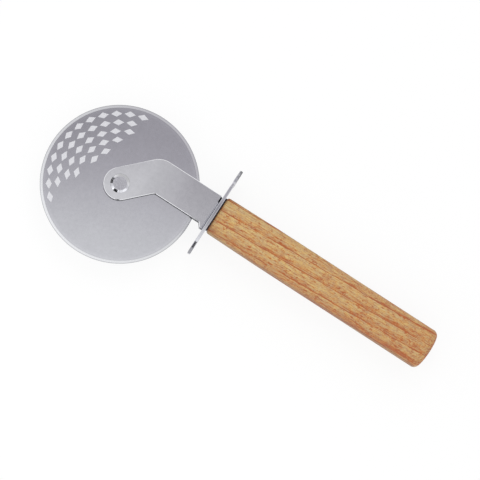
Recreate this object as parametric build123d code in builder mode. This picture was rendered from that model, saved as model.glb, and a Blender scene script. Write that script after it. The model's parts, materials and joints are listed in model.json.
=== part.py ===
"""Pizza cutter: a cutting wheel in a cranked, folded fork, a finger guard and a wooden handle.

Lengths are in millimetres. The tool lies flat: +X runs from the wheel to the butt of the handle,
+Z is up, and the origin is under the middle of the tool at the level of the guard's lower edge.
"""

import os
from math import cos, radians, sin, tan

from build123d import *

# Cutting wheel
wheel_diameter = 100.0
wheel_thickness = 1.5
bevel_width = 1.9
rim_land = 0.2

# Bush pressed into the wheel, with its ends proud of the wheel's sides
bush_wall = 1.5
bush_stand = 0.15
bush_chamfer = 0.2

# Two-piece rivet, its heads alike
sleeve_diameter = 6.0
pin_diameter = 3.6
pin_end_gap = 0.4
head_diameter = 12.2
head_flat_diameter = 8.8
head_height = 1.5
head_land = 0.3

# Washers that fill the space between the bush and the fork
washer_diameter = 15.0

# Clearances
running_clearance = 0.05
side_clearance = 0.1
press_clearance = 0.02
bolt_clearance = 0.15

# Fork, folded from one sheet round the wheel
sheet = 1.2
eye_radius = 10.4
leg_angle = 45.0
rim_gap = 5.0
strip_width = 21.6
strip_rise = 17.5
outer_crank_radius = 13.0
inner_crank_radius = 2.0
bend_radius = 0.4
edge_break = 0.35

# Foot below the base of the fork, and the relief slit above it
foot_drop = 2.7
foot_length = 4.2
toe_length = 2.2
foot_round = 0.6
slit_depth = 4.75

# Finger guard
guard_length = 62.0
guard_depth = 26.0
guard_thickness = 2.0
guard_edge_break = 0.3

# Layer between the guard and the wood
gasket_thickness = 0.8
gasket_inset = 1.1

# Handle
handle_drop = 0.6
handle_length = 157.8
handle_width = 26.2
handle_depth = 22.0
handle_corner = 8.0
neck_width = 25.4
neck_depth = 21.2
neck_corner = 7.7
neck_length = 37.0
neck_edge_round = 1.8
butt_dome_radius = 55.0
butt_edge_round = 4.0

# Tang bolt and the insert that it screws into
bolt_diameter = 4.0
bolt_head_length = 9.0
bolt_head_height = 2.4
bolt_head_clearance = 0.2
bolt_hole_margin = 0.05
bolt_tip_chamfer = 0.5
insert_wall = 1.5
insert_length = 12.0
insert_inset = 1.0
insert_chamfer = 0.4
bore_spare = 2.0

# How far cutting shapes run past what they cut
overrun = 1.0

# Levels worked out from the sizes above, measured from the middle of the axle
wheel_radius = wheel_diameter / 2
sleeve_radius = sleeve_diameter / 2
pin_radius = pin_diameter / 2
bush_bore = sleeve_radius + running_clearance
bush_radius = bush_bore + bush_wall
bush_end = wheel_thickness / 2 + bush_stand
washer_level = bush_end + side_clearance
bolt_radius = bolt_diameter / 2
bolt_hole_radius = bolt_radius + bolt_clearance
cheek_inside = bolt_hole_radius + bolt_hole_margin
cheek_outside = cheek_inside + sheet
strip_top = strip_rise + strip_width / 2
strip_bottom = strip_rise - strip_width / 2
base_inside = wheel_radius + rim_gap + bolt_head_height
fork_length = base_inside + sheet
guard_back = fork_length + guard_thickness
handle_front = guard_back + gasket_thickness
handle_back = handle_front + handle_length
handle_rise = strip_rise - handle_drop
insert_radius = bolt_radius + insert_wall
insert_front = handle_front + insert_inset
insert_back = insert_front + insert_length

# The three planes through the middle of the axle
axle_x = (wheel_radius - handle_back) / 2
axle_z = guard_depth / 2
axle_point = (axle_x, 0, axle_z)
face_plane = Plane(origin=axle_point, x_dir=(1, 0, 0), z_dir=(0, 0, 1))
side_plane = Plane(origin=axle_point, x_dir=(1, 0, 0), z_dir=(0, -1, 0))
cross_plane = Plane(origin=axle_point, x_dir=(0, 1, 0), z_dir=(1, 0, 0))
axle_line = Axis(axle_point, (0, 0, 1))

os.makedirs("parts", exist_ok=True)


def save(piece, label):
    """Label a finished piece and write it to its own file."""
    piece.part.label = label
    export_step(piece.part, f"parts/{label}.step")


# Cutting wheel: flat disc with a ground bevel on each side
with BuildPart() as cutting_wheel:
    with BuildSketch(side_plane):
        with BuildLine():
            Polyline(
                (bush_radius + press_clearance, -wheel_thickness / 2),
                (wheel_radius - bevel_width, -wheel_thickness / 2),
                (wheel_radius, -rim_land / 2),
                (wheel_radius, rim_land / 2),
                (wheel_radius - bevel_width, wheel_thickness / 2),
                (bush_radius + press_clearance, wheel_thickness / 2),
                close=True,
            )
        make_face()
    revolve(axis=axle_line)
save(cutting_wheel, "cutting_wheel")


# Bush pressed into the wheel
with BuildPart() as wheel_bush:
    with BuildSketch(face_plane.offset(-bush_end)):
        Circle(bush_radius)
        Circle(bush_bore, mode=Mode.SUBTRACT)
    extrude(amount=2 * bush_end)
    outer_rims = wheel_bush.edges().filter_by(GeomType.CIRCLE).group_by(SortBy.RADIUS)[-1]
    chamfer(outer_rims, bush_chamfer)
save(wheel_bush, "wheel_bush")


# Washers, one on each side of the bush
def make_washer(level, label):
    """Flat washer on the sleeve, its lower face at the given level."""
    with BuildPart() as washer:
        with BuildSketch(face_plane.offset(level)):
            Circle(washer_diameter / 2)
            Circle(sleeve_radius + running_clearance, mode=Mode.SUBTRACT)
        extrude(amount=cheek_inside - washer_level)
    save(washer, label)


make_washer(washer_level, "front_washer")
make_washer(-cheek_inside, "rear_washer")


# Rivet sleeve: head on the front cheek and a bored shank through to the rear cheek
with BuildPart() as axle_sleeve:
    with BuildSketch(side_plane):
        with BuildLine():
            Polyline(
                (head_diameter / 2, cheek_outside + head_land),
                (head_diameter / 2, cheek_outside),
                (sleeve_radius, cheek_outside),
                (sleeve_radius, -cheek_outside),
                (pin_radius + press_clearance, -cheek_outside),
                (pin_radius + press_clearance, cheek_inside),
                (0, cheek_inside),
                (0, cheek_outside + head_height),
                (head_flat_diameter / 2, cheek_outside + head_height),
                close=True,
            )
        make_face()
    revolve(axis=axle_line)
save(axle_sleeve, "axle_sleeve")


# Rivet pin: the same head on the rear cheek and a solid shank pressed into the sleeve
with BuildPart() as axle_pin:
    with BuildSketch(side_plane):
        with BuildLine():
            Polyline(
                (head_diameter / 2, -cheek_outside - head_land),
                (head_diameter / 2, -cheek_outside),
                (pin_radius, -cheek_outside),
                (pin_radius, cheek_inside - pin_end_gap),
                (0, cheek_inside - pin_end_gap),
                (0, -cheek_outside - head_height),
                (head_flat_diameter / 2, -cheek_outside - head_height),
                close=True,
            )
        make_face()
    revolve(axis=axle_line)
save(axle_pin, "axle_pin")


# Fork. Its cranked outline is drawn from above and its fold from the side, and the fork is
# what the two share. The outline narrows towards each outer face, which breaks the edges there.
lean = radians(leg_angle)
tangent_x = eye_radius * sin(lean)
tangent_y = eye_radius * cos(lean)
outer_corner_x = -tangent_x + (strip_top - tangent_y) / tan(lean)
inner_corner_x = tangent_x + (strip_bottom + tangent_y) / tan(lean)
with BuildSketch() as fork_outline:
    with BuildLine():
        FilletPolyline(
            (-tangent_x, tangent_y),
            (outer_corner_x, strip_top),
            (fork_length, strip_top),
            (fork_length, strip_bottom - foot_drop),
            (fork_length - toe_length, strip_bottom - foot_drop),
            (fork_length - foot_length, strip_bottom),
            (inner_corner_x, strip_bottom),
            (tangent_x, -tangent_y),
            radius=[outer_crank_radius, foot_round, foot_round, foot_round, foot_round, inner_crank_radius],
        )
        ThreePointArc((tangent_x, -tangent_y), (-tangent_y, -tangent_x), (-tangent_x, tangent_y))
    make_face()

edge_level = cheek_outside - edge_break
with BuildPart() as fork_blank:
    with BuildSketch(face_plane.offset(-edge_level)):
        add(fork_outline.sketch)
    extrude(amount=2 * edge_level)
    for side in (-1, 1):
        with BuildSketch(face_plane.offset(side * edge_level)):
            add(fork_outline.sketch)
        with BuildSketch(face_plane.offset(side * cheek_outside)):
            add(fork_outline.sketch)
            offset(amount=-edge_break)
        loft(ruled=True)

with BuildPart() as fork:
    with BuildSketch(side_plane):
        with BuildLine():
            FilletPolyline(
                (-eye_radius - overrun, cheek_inside),
                (base_inside, cheek_inside),
                (base_inside, -cheek_inside),
                (-eye_radius - overrun, -cheek_inside),
                radius=bend_radius,
            )
            offset(amount=sheet, side=Side.LEFT)
        make_face()
    extrude(amount=strip_top + overrun, both=True)
    add(fork_blank.part, mode=Mode.INTERSECT)
    with BuildSketch(face_plane):
        Circle(sleeve_radius + press_clearance)
    extrude(amount=cheek_outside + overrun, both=True, mode=Mode.SUBTRACT)
    with BuildSketch(cross_plane.offset(base_inside - overrun)):
        with Locations((handle_rise, 0)):
            Circle(bolt_hole_radius)
    extrude(amount=sheet + 2 * overrun, mode=Mode.SUBTRACT)
    with BuildSketch(face_plane.offset(-cheek_inside)):
        with Locations((base_inside, strip_top - slit_depth)):
            Rectangle(sheet + overrun, slit_depth + overrun, align=(Align.MIN, Align.MIN))
    extrude(amount=cheek_inside + cheek_outside + overrun, mode=Mode.SUBTRACT)
save(fork, "fork")


# Finger guard
with BuildPart() as guard_plate:
    with BuildSketch(cross_plane.offset(fork_length)):
        with Locations((strip_rise, 0)):
            SlotOverall(guard_length, guard_depth)
    extrude(amount=guard_thickness)
    chamfer(guard_plate.faces().filter_by(Axis.X).edges(), guard_edge_break)
    with BuildSketch(cross_plane.offset(fork_length - overrun)):
        with Locations((handle_rise, 0)):
            Circle(bolt_hole_radius)
    extrude(amount=guard_thickness + 2 * overrun, mode=Mode.SUBTRACT)
save(guard_plate, "guard_plate")


# Layer between the guard and the wood, a little smaller than the wood's end
with BuildPart() as handle_gasket:
    with BuildSketch(cross_plane.offset(guard_back)):
        with Locations((handle_rise, 0)):
            RectangleRounded(
                neck_width - 2 * gasket_inset, neck_depth - 2 * gasket_inset, neck_corner - gasket_inset
            )
            Circle(bolt_hole_radius, mode=Mode.SUBTRACT)
    extrude(amount=gasket_thickness)
save(handle_gasket, "handle_gasket")


# Handle: it widens over the neck, then runs straight to a domed and rounded butt
dome_reach = max(handle_width, handle_depth)
dome_side = butt_dome_radius - (butt_dome_radius**2 - dome_reach**2) ** 0.5
with BuildPart() as handle:
    with BuildSketch(cross_plane.offset(handle_front)):
        with Locations((handle_rise, 0)):
            RectangleRounded(neck_width, neck_depth, neck_corner)
    with BuildSketch(cross_plane.offset(handle_front + neck_length)):
        with Locations((handle_rise, 0)):
            RectangleRounded(handle_width, handle_depth, handle_corner)
    loft(ruled=True)
    with BuildSketch(cross_plane.offset(handle_front + neck_length)):
        with Locations((handle_rise, 0)):
            RectangleRounded(handle_width, handle_depth, handle_corner)
    extrude(amount=handle_length - neck_length)
    with BuildSketch(face_plane):
        with BuildLine():
            Polyline(
                (handle_back - dome_side, handle_rise + dome_reach),
                (handle_front - overrun, handle_rise + dome_reach),
                (handle_front - overrun, handle_rise - dome_reach),
                (handle_back - dome_side, handle_rise - dome_reach),
            )
            ThreePointArc(
                (handle_back - dome_side, handle_rise - dome_reach),
                (handle_back, handle_rise),
                (handle_back - dome_side, handle_rise + dome_reach),
            )
        make_face()
    extrude(amount=handle_depth, both=True, mode=Mode.INTERSECT)
    fillet(handle.faces().sort_by(Axis.X)[-1].edges(), butt_edge_round)
    fillet(handle.faces().sort_by(Axis.X)[0].edges(), neck_edge_round)
    with BuildSketch(cross_plane.offset(handle_front - overrun)):
        with Locations((handle_rise, 0)):
            Circle(insert_radius + press_clearance)
    extrude(amount=overrun + insert_inset + insert_length, mode=Mode.SUBTRACT)
    with BuildSketch(cross_plane.offset(insert_front)):
        with Locations((handle_rise, 0)):
            Circle(bolt_hole_radius)
    extrude(amount=insert_length + 2 * bore_spare, mode=Mode.SUBTRACT)
save(handle, "handle")


# Brass insert in the wood
with BuildPart() as threaded_insert:
    with BuildSketch(cross_plane.offset(insert_front)):
        with Locations((handle_rise, 0)):
            Circle(insert_radius)
            Circle(bolt_radius + press_clearance, mode=Mode.SUBTRACT)
    extrude(amount=insert_length)
    insert_rims = threaded_insert.edges().filter_by(GeomType.CIRCLE).group_by(SortBy.RADIUS)[-1]
    chamfer(insert_rims, insert_chamfer)
save(threaded_insert, "threaded_insert")


# Tang bolt: flat-sided head in the fold of the fork, shank through to the insert
with BuildPart() as tang_bolt:
    with BuildSketch(cross_plane.offset(base_inside)):
        with Locations((handle_rise, 0)):
            Rectangle(bolt_head_length, 2 * (cheek_inside - bolt_head_clearance))
    extrude(amount=-bolt_head_height)
    seat_edges = tang_bolt.faces().sort_by(Axis.X)[-1].edges().filter_by(Axis.Y)
    chamfer(seat_edges, bend_radius)
    with BuildSketch(cross_plane.offset(base_inside)):
        with Locations((handle_rise, 0)):
            Circle(bolt_radius)
    extrude(amount=insert_back + bore_spare - base_inside)
    chamfer(tang_bolt.faces().sort_by(Axis.X)[-1].edges(), bolt_tip_chamfer)
save(tang_bolt, "tang_bolt")
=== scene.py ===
"""Looks of the pizza cutter: the camera, the studio and one procedural material for each slot."""
import json
from math import cos, pi, radians, sin

import bpy
from mathutils import Matrix, Vector


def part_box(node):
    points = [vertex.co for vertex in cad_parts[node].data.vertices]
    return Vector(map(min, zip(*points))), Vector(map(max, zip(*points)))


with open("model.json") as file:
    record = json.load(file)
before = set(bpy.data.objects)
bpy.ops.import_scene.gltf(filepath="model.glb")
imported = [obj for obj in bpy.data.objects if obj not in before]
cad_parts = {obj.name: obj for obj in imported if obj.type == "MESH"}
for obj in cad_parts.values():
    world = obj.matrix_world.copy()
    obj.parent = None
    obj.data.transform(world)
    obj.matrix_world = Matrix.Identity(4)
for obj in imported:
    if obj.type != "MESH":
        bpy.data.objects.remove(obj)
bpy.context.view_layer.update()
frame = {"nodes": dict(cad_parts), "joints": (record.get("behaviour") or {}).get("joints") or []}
scene = bpy.context.scene
scene.view_settings.view_transform = "Standard"

# Places read from the model, in metres
axle = Vector(frame["joints"][0]["pos_m"])
handle_low, handle_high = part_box("handle")
handle_middle = (handle_low + handle_high) / 2
guard_low, guard_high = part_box("guard_plate")

# Camera above the tool, leant a little to the wheel's open side and turned so that the handle
# runs down to the right
PIXEL = 0.000625
FRAME_PIXELS = 480
TURN = radians(32.94)
LEAN = radians(7.5)
CAMERA_HEIGHT = 2.4
IMAGE_CENTRE = Vector((-0.0026, 0.0115, 0.014))
image_right = Vector((cos(TURN), sin(TURN), 0))
image_up = Vector((-sin(TURN), cos(TURN), 0))
upright = Matrix((image_right, image_up, (0, 0, 1))).transposed().to_4x4()

camera = bpy.data.objects.new("camera", bpy.data.cameras.new("camera"))
scene.collection.objects.link(camera)
camera.data.lens = camera.data.sensor_width * CAMERA_HEIGHT / (FRAME_PIXELS * PIXEL)
camera.matrix_world = (
    Matrix.Translation(IMAGE_CENTRE)
    @ Matrix.Rotation(LEAN, 4, "X")
    @ upright
    @ Matrix.Translation((0, 0, CAMERA_HEIGHT))
)
scene.camera = camera


# Small language for the materials: a Number is a socket that sums can be written with
class Number:
    def __init__(self, paint, socket):
        self.paint = paint
        self.socket = socket

    def __add__(self, other):
        return self.paint.math("ADD", self, other)

    def __sub__(self, other):
        return self.paint.math("SUBTRACT", self, other)

    def __rsub__(self, other):
        return self.paint.math("SUBTRACT", other, self)

    def __mul__(self, other):
        return self.paint.math("MULTIPLY", self, other)

    def __truediv__(self, other):
        return self.paint.math("DIVIDE", self, other)

    def power(self, exponent):
        return self.paint.math("POWER", self, exponent)

    def root(self):
        return self.paint.math("SQRT", self)

    def size(self):
        return self.paint.math("ABSOLUTE", self)

    def floor(self):
        return self.paint.math("FLOOR", self)

    def rest(self):
        return self.paint.math("FRACT", self)

    def rise(self, low, high):
        """0 below low, 1 above high, smooth between. With high under low it falls instead."""
        if high < low:
            return 1 - self.rise(high, low)
        found = self.paint.add("ShaderNodeMapRange", {"interpolation_type": "SMOOTHSTEP"})
        self.paint.feed(found.inputs["Value"], self)
        found.inputs["From Min"].default_value = low
        found.inputs["From Max"].default_value = high
        return Number(self.paint, found.outputs["Result"])


def colour(red, green, blue):
    """Linear colour of an sRGB colour given in 0 to 255."""
    return [((c / 255 + 0.055) / 1.055) ** 2.4 for c in (red, green, blue)] + [1.0]


# Sockets of a Mix node that serve when it mixes colours
MIX_SHARE, MIX_FIRST, MIX_SECOND, MIX_RESULT = 0, 6, 7, 2


class Paint:
    """The nodes of one material, lamp or world. Lengths in them are in millimetres."""

    def __init__(self, owner):
        owner.use_nodes = True
        owner.node_tree.nodes.clear()
        self.owner = owner
        self.tree = owner.node_tree

    def add(self, kind, settings=None):
        found = self.tree.nodes.new(kind)
        for key, value in (settings or {}).items():
            setattr(found, key, value)
        return found

    def feed(self, socket, value):
        """Links a socket to a Number or to another socket, or sets it to a plain value."""
        if isinstance(value, Number):
            value = value.socket
        if isinstance(value, bpy.types.NodeSocket):
            self.tree.links.new(value, socket)
        else:
            socket.default_value = value

    def math(self, operation, first, second=0.0):
        found = self.add("ShaderNodeMath", {"operation": operation})
        self.feed(found.inputs[0], first)
        self.feed(found.inputs[1], second)
        return Number(self, found.outputs[0])

    def parts(self, kind, output):
        """x, y and z of a vector that a node of this kind puts out."""
        split = self.add("ShaderNodeSeparateXYZ")
        self.feed(split.inputs[0], self.add(kind).outputs[output])
        return [Number(self, socket) for socket in split.outputs]

    def place(self, origin):
        """x, y and z in millimetres from a point of the model."""
        found = self.parts("ShaderNodeTexCoord", "Object")
        return [(part - start) * 1000 for part, start in zip(found, origin)]

    def facing(self):
        """How far the surface faces along the tool, across it and up, each from -1 to 1."""
        return self.parts("ShaderNodeTexCoord", "Normal")

    def noise(self, x, y, z, detail=2.0, rough=0.5, bend=0.0):
        joined = self.add("ShaderNodeCombineXYZ")
        for socket, value in zip(joined.inputs, (x, y, z)):
            self.feed(socket, value)
        found = self.add("ShaderNodeTexNoise")
        self.feed(found.inputs["Vector"], joined.outputs[0])
        found.inputs["Scale"].default_value = 1.0
        found.inputs["Detail"].default_value = detail
        found.inputs["Roughness"].default_value = rough
        found.inputs["Distortion"].default_value = bend
        return Number(self, found.outputs["Fac"])

    def blend(self, share, first, second, kind="MIX"):
        found = self.add("ShaderNodeMix", {"data_type": "RGBA", "blend_type": kind})
        self.feed(found.inputs[MIX_SHARE], share)
        self.feed(found.inputs[MIX_FIRST], first)
        self.feed(found.inputs[MIX_SECOND], second)
        return found.outputs[MIX_RESULT]

    def shade(self, base, level):
        """A colour times a level near 1."""
        joined = self.add("ShaderNodeCombineColor")
        for socket in joined.inputs:
            self.feed(socket, level)
        return self.blend(1.0, base, joined.outputs[0], "MULTIPLY")

    def matt(self, level):
        """Diffuse shader of one grey."""
        found = self.add("ShaderNodeBsdfDiffuse")
        found.inputs["Color"].default_value = (level, level, level, 1)
        return found

    def output(self, shader, kind="Material"):
        self.feed(self.add("ShaderNodeOutput" + kind).inputs[0], shader.outputs[0])

    def finish(self, base, roughness, height, depth, **fixed):
        """Principled shader. height is a relief in millimetres times depth."""
        shader = self.add("ShaderNodeBsdfPrincipled")
        self.feed(shader.inputs["Base Color"], base)
        self.feed(shader.inputs["Roughness"], roughness)
        for name, value in fixed.items():
            shader.inputs[name.replace("_", " ")].default_value = value
        bump = self.add("ShaderNodeBump")
        bump.inputs["Distance"].default_value = depth / 1000
        self.feed(bump.inputs["Height"], height)
        self.feed(shader.inputs["Normal"], bump.outputs[0])
        self.output(shader)
        return self.owner


def material_paint(name):
    return Paint(bpy.data.materials.new(name))


# In the materials below, a pair of lengths is where something starts and where it is complete

# Wheel steel: satin flats that get lighter towards the bevel, which is ground round the rim
BEVEL_START = 48.1
BEVEL_BLUR = 0.1
FLAT_LIGHTER = (45.5, 48)
# Where the rim's edge is painted darker, as painted shade
RIM_PAINTED_SHADE = (49.5, 49.7)
# Etched design: lozenges in rows that follow the rim, beyond a chord of the wheel
ROW_FIRST = 22.4
ROW_PITCH = 5.5
ROWS = 5
MARK_PITCH = 8.4
MARK_LENGTH = 7.2
MARK_WIDTH = 3.9
DESIGN_TURN = radians(164.0)
DESIGN_CHORD = 20.0


def etched_design(paint, x, y, radius):
    """1 on the marks of the etched design, 0 elsewhere."""
    row = ((radius - (ROW_FIRST - ROW_PITCH / 2)) / ROW_PITCH).floor()
    row_radius = row * ROW_PITCH + ROW_FIRST
    angle = paint.math("ARCTAN2", y, x)
    count = (row_radius * (2 * pi / MARK_PITCH)).floor()
    turn = angle * count / (2 * pi) + row * 0.5
    mark = turn.floor()
    along = (turn - mark - 0.5) * (row_radius * 2 * pi) / count
    across = radius - row_radius
    lozenge = (along / (MARK_LENGTH / 2)).size() + (across / (MARK_WIDTH / 2)).size()
    mark_angle = (mark + 0.5 - row * 0.5) * (2 * pi) / count
    reach = paint.math("COSINE", mark_angle - DESIGN_TURN) * row_radius
    inside = reach.rise(DESIGN_CHORD - 0.01, DESIGN_CHORD)
    in_rows = row.rise(ROWS - 0.4, ROWS - 0.5) * row.rise(-0.6, -0.5)
    return lozenge.rise(1.05, 0.9) * inside * in_rows


def wheel_steel():
    paint = material_paint("wheel_steel")
    x, y, z = paint.place(axle)
    facing_up = paint.facing()[2]
    radius = (x * x + y * y).root()
    bevel = radius.rise(BEVEL_START - BEVEL_BLUR, BEVEL_START + BEVEL_BLUR)
    grain = paint.noise(x * 0.8, y * 9, z, detail=3)
    cloud = paint.noise(x * 0.06, y * 0.06, z * 0.1, detail=3)
    ring = paint.noise(radius * 14, x * 0.05, y * 0.05, detail=2)
    frost = paint.noise(x * 6, y * 6, z, detail=2)
    mottle = paint.noise(x * 0.45, y * 0.45, z, detail=3, rough=0.6)
    etch = etched_design(paint, x, y, radius) * facing_up.rise(0.9, 0.95) * (1 - bevel)
    base = paint.blend(cloud, colour(203, 203, 209), colour(209, 209, 215))
    lighter = radius.rise(*FLAT_LIGHTER)
    base = paint.shade(base, grain * 0.06 + mottle * 0.14 + 0.9 + lighter * 0.07)
    ground = paint.blend(ring, colour(213, 213, 217), colour(230, 230, 234))
    base = paint.blend(bevel, base, ground)
    # Painted shade: a dark line in the crease where the bevel starts, and a darker edge round the
    # rim
    painted_edge_shade = (radius - BEVEL_START).size().rise(0.4, 0.2) * 0.15 + radius.rise(*RIM_PAINTED_SHADE) * 0.4
    base = paint.blend(painted_edge_shade, base, colour(96, 96, 100))
    frosted = paint.blend(frost, colour(236, 236, 240), colour(246, 246, 249))
    base = paint.blend(etch, base, frosted)
    roughness = (grain - 0.5) * 0.08 + 0.19
    roughness = roughness * (1 - bevel) + bevel * (ring * 0.1 + 0.2)
    roughness = roughness * (1 - etch) + etch * 0.62
    height = grain * (1 - bevel) + ring * bevel - etch * 2
    return paint.finish(base, roughness, height, 0.0015, Metallic=1.0)


# Fork steel: satin faces; polished rims with a painted highlight; a duller bend, painted lighter;
# cut edges darker, partly matt and partly painted shade; painted shade on the inner faces, on the
# strip and round the crank. The sheet isn't quite flat: its leg leans by the slope FORK_BOW.
# Places are counted from the axle
FORK_BOW = 0.04
LEG_LEANS = (38, 5)
# Painted shade: where the strip turns darker, and the middle and reach of a darker band round the
# crank
STRIP_PAINTED_SHADE = (15, 60)
CRANK_SHADE_MIDDLE = 20
CRANK_SHADE_REACH = 13
FOLD = (56.8, 57.2)
FACES_INWARD = (-0.5, -1.5)
REAR_CHEEK = (-0.5, -1.5)
OPEN_SIDE = (13, 10)


def fork_steel():
    paint = material_paint("fork_steel")
    x, y, z = paint.place(axle)
    facing_up = paint.facing()[2]
    flatness = facing_up.size()
    grain = paint.noise(x * 0.7, y * 10, z * 10, detail=3)
    cloud = paint.noise(x * 0.1, y * 0.1, z * 0.1, detail=3)
    mottle = paint.noise(x * 0.4, y * 0.4, z * 0.4, detail=3, rough=0.6)
    fold = x.rise(*FOLD)
    rim = flatness.rise(0.9, 0.8) * flatness.rise(0.4, 0.5) * (1 - fold)
    wall = flatness.rise(0.35, 0.25)
    inner = (z * facing_up).rise(*FACES_INWARD)
    open_side = inner * z.rise(*REAR_CHEEK) * y.rise(*OPEN_SIDE)
    base = paint.blend(cloud, colour(216, 216, 221), colour(222, 222, 226))
    # Painted shade: the strip darker away from the eye, and a darker band round the crank
    level = grain * 0.08 + mottle * 0.16 + 0.88 - x.rise(*STRIP_PAINTED_SHADE) * 0.1
    level = level - (x - CRANK_SHADE_MIDDLE).size().rise(CRANK_SHADE_REACH, 0) * 0.07
    base = paint.shade(base, level)
    # The rims' lower roughness is polish; their brighter colour is a painted highlight
    base = paint.blend(rim, base, colour(243, 243, 246))
    # Painted light: the bend is coloured lighter than the faces beside it
    base = paint.blend(fold, base, colour(221, 221, 225))
    # Cut edges darker: partly their matt finish, partly painted shade
    cut_edge_and_shade = paint.blend(grain, colour(112, 112, 116), colour(142, 142, 146))
    base = paint.blend(wall, base, cut_edge_and_shade)
    # Painted shade on the inner faces, left off the rear cheek's inner face towards the open side
    painted_inner_shade = paint.blend(grain, colour(60, 60, 64), colour(88, 88, 92))
    base = paint.blend(inner - open_side, base, painted_inner_shade)
    roughness = (grain - 0.5) * 0.08 + 0.22
    roughness = roughness * (1 - rim) + rim * 0.14
    roughness = roughness + inner * 0.2 + open_side * 0.25 + wall * 0.35 + fold * 0.25
    bow = (x * 0.2 + y) * (x.rise(*LEG_LEANS) * 1.5 - 0.5) * FORK_BOW
    return paint.finish(base, roughness, bow + grain * 0.0015, 1.0, Metallic=1.0)


# Guard steel. Its long edges are polished a little round on one side of the middle, where they
# fall away by the slope GUARD_CROWN to a millimetre. Places along the guard are counted from the
# middle of the handle
GUARD_CROWN = 0.006
# Painted shade in the middle of the plate, next to the fork's bend
SHADED_MIDDLE = -3
SHADED_REACH = (13.5, 6)
# Painted highlight at one place on the long edges
HIGHLIGHT_SPOT = 20
HIGHLIGHT_REACH = (2.4, 0.8)
# Painted shade on the edges' upper end, and a painted dark reflection on their lower end
UPPER_END_SHADE = (21, 22.6)
LOWER_END_DARK_REFLECTION = (-25, -27.5)


def guard_steel():
    paint = material_paint("guard_steel")
    x, y, z = paint.place(Vector((axle.x, handle_middle.y, axle.z)))
    flatness = paint.facing()[2].size()
    grain = paint.noise(x * 10, y * 0.8, z * 9, detail=3)
    edge = flatness.rise(0.1, 0.25)
    # Painted shade in the middle of the plate, next to the fork's bend
    middle = (y - SHADED_MIDDLE).size().rise(*SHADED_REACH) * flatness.rise(0.7, 0.8)
    # Painted highlight at one place on the long edges
    painted_highlight = (y - HIGHLIGHT_SPOT).size().rise(*HIGHLIGHT_REACH) * edge
    base = paint.blend(grain, colour(202, 202, 208), colour(215, 215, 221))
    shaded = paint.blend(grain, colour(164, 164, 171), colour(178, 178, 185))
    base = paint.blend(middle, base, shaded)
    base = paint.blend(painted_highlight, base, colour(240, 240, 244))
    # Painted shade on the edges' upper end, and a painted dark reflection on their lower end
    base = paint.blend(y.rise(*UPPER_END_SHADE) * edge * 0.58, base, colour(178, 178, 184))
    base = paint.blend(y.rise(*LOWER_END_DARK_REFLECTION) * edge * 0.8, base, colour(140, 140, 146))
    roughness = (grain - 0.5) * 0.12 + 0.17
    low_side = paint.math("MINIMUM", y, 0.0)
    crown = low_side * low_side * flatness.rise(0.2, 0.3) * (-GUARD_CROWN / 2)
    return paint.finish(base, roughness, crown + grain * 0.005, 1.0, Metallic=1.0)


# Rivet steel: a flat top, lightly peened, in a polished rim with a painted highlight on its far
# side, and a painted contact shadow round the head's foot
RIVET_TOP = (4.5, 4.3)
# Where the rim's painted highlight lies, on its far side
RIVET_FAR_SIDE = (0.5, 3)
RIVET_RIM = (4.1, 4.4)
# Painted contact shadow round the foot of the head
RIVET_CONTACT_SHADOW = (5.9, 6.05)


def rivet_steel():
    paint = material_paint("rivet_steel")
    x, y, z = paint.place(axle)
    radius = (x * x + y * y).root()
    top = radius.rise(*RIVET_TOP)
    # Painted highlight on the rim's far side
    far_rim_highlight = y.rise(*RIVET_FAR_SIDE) * radius.rise(*RIVET_RIM)
    peening = paint.noise(x * 1.6, y * 1.6, z, detail=3, bend=0.6)
    turning = paint.noise(radius * 9, x * 0.1, y * 0.1, detail=1)
    peened = paint.blend(peening.rise(0.35, 0.65), colour(186, 185, 192), colour(218, 218, 224))
    base = paint.blend(top, colour(198, 198, 203), peened)
    base = paint.blend(far_rim_highlight, base, colour(234, 234, 236))
    # Painted contact shadow round the foot of the head
    base = paint.blend(radius.rise(*RIVET_CONTACT_SHADOW) * 0.6, base, colour(90, 90, 94))
    roughness = top * (peening * 0.2 + 0.24) + (1 - top) * (turning * 0.08 + 0.08)
    height = peening * top * 6 + turning * 0.4
    return paint.finish(base, roughness, height, 0.02, Metallic=1.0)


def plain_metal(name, first, second, roughness):
    """Small turned parts: fine grain with faint clouding."""
    paint = material_paint(name)
    x, y, z = paint.place(axle)
    fine = paint.noise(x * 8, y * 8, z * 8, detail=3)
    cloud = paint.noise(x * 0.5, y * 0.5, z * 0.5, detail=2)
    base = paint.blend(fine * 0.5 + cloud * 0.5, first, second)
    return paint.finish(base, (fine - 0.5) * 0.16 + roughness, fine, 0.008, Metallic=1.0)


def gasket_rubber():
    paint = material_paint("gasket_rubber")
    x, y, z = paint.place(axle)
    fine = paint.noise(x * 7, y * 7, z * 7, detail=3)
    base = paint.blend(fine, colour(28, 28, 29), colour(48, 48, 49))
    return paint.finish(base, fine * 0.15 + 0.6, fine, 0.03, Metallic=0.0)


# Beech, quarter sawn: growth rings cross the front at a low angle, with strands, pores and flecks.
# Places are counted from the middle of the handle's section
RING_PITCH = 7.3
RING_TURN = radians(12)
RING_RISE = 0.0486
RING_START = -1.8
DARKER_ALONG = (-70, 180)
# Painted shade on the lower edge and on the sides
LOWER_EDGE_SHADE = (-9, -12)
SIDE_SHADE_REACH = (12.4, 13)


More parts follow.
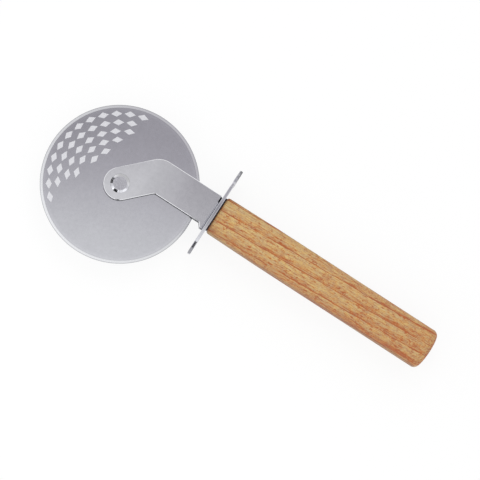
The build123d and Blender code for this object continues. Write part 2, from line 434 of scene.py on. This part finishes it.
def handle_wood():
    paint = material_paint("handle_wood")
    x, y, z = paint.place(Vector((0, handle_middle.y, handle_middle.z)))
    facing_along, _, facing_up = paint.facing()
    drift = paint.noise(x * 0.02, y * 0.05, z * 0.05, detail=2) - 0.5
    ripple = paint.noise(x * 0.1, y * 0.3, z * 0.3, detail=3) - 0.5
    wave = y - x * RING_RISE + drift * 1.6 + ripple * 1.1
    across = wave * cos(RING_TURN) + z * sin(RING_TURN)
    depth = z * cos(RING_TURN) - y * sin(RING_TURN)
    part = ((across - RING_START) / RING_PITCH).rest()
    band = paint.noise(x * 0.04, across * 0.2, depth * 0.2, detail=2)
    late = (1 - part).power(2.2) * band.rise(0.25, 0.6)
    broken = paint.noise(x * 0.12, across * 0.5, depth * 0.5, detail=3).rise(0.38, 0.6)
    line = part.rise(0.09, 0.03) * (broken * 0.8 + 0.2)
    strands = paint.noise(x * 0.05, across, depth * 0.5, detail=3, rough=0.6).rise(0.52, 0.66)
    fibre = paint.noise(x * 0.13, across * 1.5, depth * 1.5, detail=3, rough=0.65) - 0.5
    grit = paint.noise(x, across * 1.9, depth * 1.9, detail=2, rough=0.7) - 0.5
    pores = paint.noise(x * 0.4, across * 2.2, depth * 2.2, detail=2).rise(0.6, 0.7)
    flecks = paint.noise(x * 0.34 + y * 0.2, y * 1.1 - x * 0.14, z * 1.1, detail=2, bend=0.6)
    bars = paint.noise(x * 0.34, y * 0.16, z * 0.16, detail=2).rise(0.54, 0.72)
    hue = paint.noise(x * 0.25, across * 0.6, depth * 0.6, detail=3, rough=0.7).rise(0.35, 0.65)
    # Painted shade on the handle's sides
    side_shade = y.size().rise(*SIDE_SHADE_REACH)
    tone = fibre * 1.7 + grit * 1.2 + late * 0.52 + strands * 0.3 + line * 0.75 + 0.18
    tone = tone + bars * part.rise(0.1, 0.3) * 0.25 + flecks.rise(0.58, 0.68) * 0.6
    tone = tone + pores * 0.2 + x.rise(*DARKER_ALONG) * 0.2
    tone = tone + facing_along.size().rise(0.5, 0.9) * 0.3
    # Painted shade on the lower edge and on the sides
    tone = tone + y.rise(*LOWER_EDGE_SHADE) * facing_up.rise(0.1, 0.5) * 0.25 + side_shade * 0.18
    light = paint.blend(hue, colour(208, 180, 116), colour(197, 174, 127))
    dark = paint.blend(hue, colour(174, 92, 44), colour(159, 89, 55))
    # Painted shade darkens the sides
    base = paint.shade(paint.blend(tone, light, dark), 1 - side_shade * 0.27)
    height = fibre * 0.5 - pores
    return paint.finish(
        base, fibre * 0.14 + 0.5, height, 0.04, Metallic=0.0, Specular_IOR_Level=0.3
    )


finishes = {
    "wheel_steel": wheel_steel(),
    "fork_steel": fork_steel(),
    "guard_steel": guard_steel(),
    "rivet_steel": rivet_steel(),
    "gasket_rubber": gasket_rubber(),
    "handle_wood": handle_wood(),
}
for name, first, second, roughness in (
    ("washer_steel", (180, 180, 185), (204, 204, 208), 0.3),
    ("bolt_steel", (176, 178, 184), (200, 202, 206), 0.34),
    ("bush_bronze", (190, 142, 92), (214, 170, 118), 0.3),
    ("insert_brass", (206, 176, 110), (226, 200, 138), 0.26),
):
    finishes[name] = plain_metal(name, colour(*first), colour(*second), roughness)
for node in frame["nodes"].values():
    for place in node.material_slots:
        place.material = finishes[place.material.name.split(".")[0]]


# Studio: a pale floor, a soft sky, a square panel overhead, a fill lamp and four dark cards
ALONG = Vector((1, 0, 0))
ACROSS = Vector((0, 1, 0))
UP = Vector((0, 0, 1))
FLOOR_SIZE = 12.0
FLOOR_DROP = 0.0002
FLOOR_GREY = 0.94
FLOOR_GLOW = 0.88
SKY_COLOUR = (0.985, 0.985, 1.0, 1)
# How much the sky dims overhead and towards the far side
SKY_OVERHEAD = 0.92
SKY_FAR_SIDE = 0.4


def sheet(name, centre, across, along, width, height):
    """Flat studio sheet, given by its centre and two directions."""
    corners = [
        centre + across * (width / 2 * i) + along * (height / 2 * j)
        for i, j in ((-1, -1), (1, -1), (1, 1), (-1, 1))
    ]
    mesh = bpy.data.meshes.new(name)
    mesh.from_pydata([tuple(corner) for corner in corners], [], [(0, 1, 2, 3)])
    found = bpy.data.objects.new(name, mesh)
    scene.collection.objects.link(found)
    return found


def white_floor():
    """Floor that is white to the camera, in gloss and through glass, and keeps soft shadows."""
    place = Vector((0, 0, -FLOOR_DROP))
    floor = sheet("floor", place, ALONG, ACROSS, FLOOR_SIZE, FLOOR_SIZE)
    paint = material_paint("floor_white")
    rays = paint.add("ShaderNodeLightPath")
    seen = paint.math("MAXIMUM", rays.outputs["Is Camera Ray"], rays.outputs["Is Glossy Ray"])
    seen = paint.math("MAXIMUM", seen, rays.outputs["Is Transmission Ray"])
    glow = paint.add("ShaderNodeEmission")
    glow.inputs["Strength"].default_value = 1.0
    mixed = paint.add("ShaderNodeMixShader")
    paint.feed(mixed.inputs[0], seen * FLOOR_GLOW)
    paint.feed(mixed.inputs[1], paint.matt(FLOOR_GREY).outputs[0])
    paint.feed(mixed.inputs[2], glow.outputs[0])
    paint.output(mixed)
    floor.data.materials.append(paint.owner)


def soft_sky():
    scene.world = bpy.data.worlds.new("studio")
    paint = Paint(scene.world)
    _, y, z = paint.parts("ShaderNodeTexCoord", "Generated")
    overhead = z.rise(0.3, 0.7) * SKY_OVERHEAD
    far_side = y.rise(0.3, 0.9) * SKY_FAR_SIDE
    sky = paint.add("ShaderNodeBackground")
    sky.inputs["Color"].default_value = SKY_COLOUR
    paint.feed(sky.inputs["Strength"], (1 - overhead) * (1 - far_side))
    paint.output(sky, "World")


def square_lamp(name, size, level, matrix):
    """Square lamp. At level 1 it is as bright as a white sheet."""
    lamp = bpy.data.lights.new(name, "AREA")
    lamp.shape = "SQUARE"
    lamp.size = size
    lamp.energy = pi * size**2 * level
    found = bpy.data.objects.new(name, lamp)
    scene.collection.objects.link(found)
    found.matrix_world = matrix
    found.visible_camera = False
    return found


# Panel overhead, brighter to one side, with two dim spots that the wheel and the fork mirror
PANEL_SIZE = 1.4
PANEL_HEIGHT = 0.36
PANEL_SHIFT = 0.01
PANEL_LEVEL = 0.85
PANEL_SLOPE = (-0.5, -0.42)
# Dim spots of the panel: middle, reach and depth
PANEL_SPOTS = (
    ((-0.111, 0.145), (0.104, 0.097), 0.62),
    ((0.133, 0.071), (0.166, 0.060), 0.45),
)
SPOT_FADE = (1.8, 0.2)
# Tint of the panel's dim and bright parts, and the levels between which it turns
DIM_TINT = (1.0, 0.965, 1.03, 1)
BRIGHT_TINT = (1.0, 1.01, 1.0, 1)
TINT_LEVELS = (0.4, 0.85)


def overhead_panel():
    matrix = Matrix.Translation((axle.x, axle.y + PANEL_SHIFT, PANEL_HEIGHT)) @ upright
    paint = Paint(square_lamp("overhead_panel", PANEL_SIZE, 1.0, matrix).data)
    across, up, _ = paint.parts("ShaderNodeNewGeometry", "Parametric")
    x = (across - 0.5) * PANEL_SIZE
    y = (up - 0.5) * PANEL_SIZE
    level = x * PANEL_SLOPE[0] + y * PANEL_SLOPE[1] + PANEL_LEVEL
    for middle, reach, depth in PANEL_SPOTS:
        spot_x = (x - middle[0]) / reach[0]
        spot_y = (y - middle[1]) / reach[1]
        level = level - (spot_x * spot_x + spot_y * spot_y).root().rise(*SPOT_FADE) * depth
    light = paint.add("ShaderNodeEmission")
    paint.feed(light.inputs["Strength"], level)
    tint = paint.blend(level.rise(*TINT_LEVELS), DIM_TINT, BRIGHT_TINT)
    paint.feed(light.inputs["Color"], tint)
    paint.output(light, "Light")


# Fill for the matt surfaces only, from the side where the panel is dim
FILL_LEVEL = 1.5
FILL_SIZE = 0.8
FILL_REACH = 0.7
fill_side = (image_right * 0.3 + image_up * 0.7).normalized()


def fill_lamp():
    away = fill_side * FILL_REACH + UP * FILL_REACH
    turned = away.to_track_quat("Z", "Y").to_matrix().to_4x4()
    fill = square_lamp("fill", FILL_SIZE, FILL_LEVEL, Matrix.Translation(away) @ turned)
    fill.visible_glossy = False


# Dark cards that only the steel mirrors: two stand by the wheel and one by the guard's near end,
# and one lies beyond the guard's far end. A standing card is given by its foot's direction in
# degrees and distance, its width, and the heights of its lower and upper edges
guard_end = Vector((guard_low.x, guard_low.y, 0))
STANDING_CARDS = (
    ("card_left", axle, 183, 0.36, 0.27, 0.116, 0.18),
    ("card_front", axle, -92, 0.36, 0.21, 0.15, 0.28),
    ("card_guard", guard_end, -86, 0.14, 0.036, 0.001, 0.092),
)
STANDING_GREY = 0.01
LYING_PLACE = Vector((guard_low.x + 0.04, guard_high.y + 0.12, FLOOR_DROP))
LYING_SIZE = (0.08, 0.26)
LYING_GREY = 0.3


def darken(card, grey):
    """Makes a sheet a matt card that only gloss sees."""
    paint = material_paint(card.name)
    paint.output(paint.matt(grey))
    card.data.materials.append(paint.owner)
    card.visible_camera = card.visible_diffuse = card.visible_shadow = False


def dark_cards():
    for name, start, turn, distance, width, low, high in STANDING_CARDS:
        away = Vector((cos(radians(turn)), sin(radians(turn)), 0))
        centre = start + away * distance
        centre.z = (low + high) / 2
        card = sheet(name, centre, UP.cross(away), UP, width, high - low)
        darken(card, STANDING_GREY)
    darken(sheet("card_floor", LYING_PLACE, ALONG, ACROSS, *LYING_SIZE), LYING_GREY)


white_floor()
soft_sky()
overhead_panel()
fill_lamp()
dark_cards()
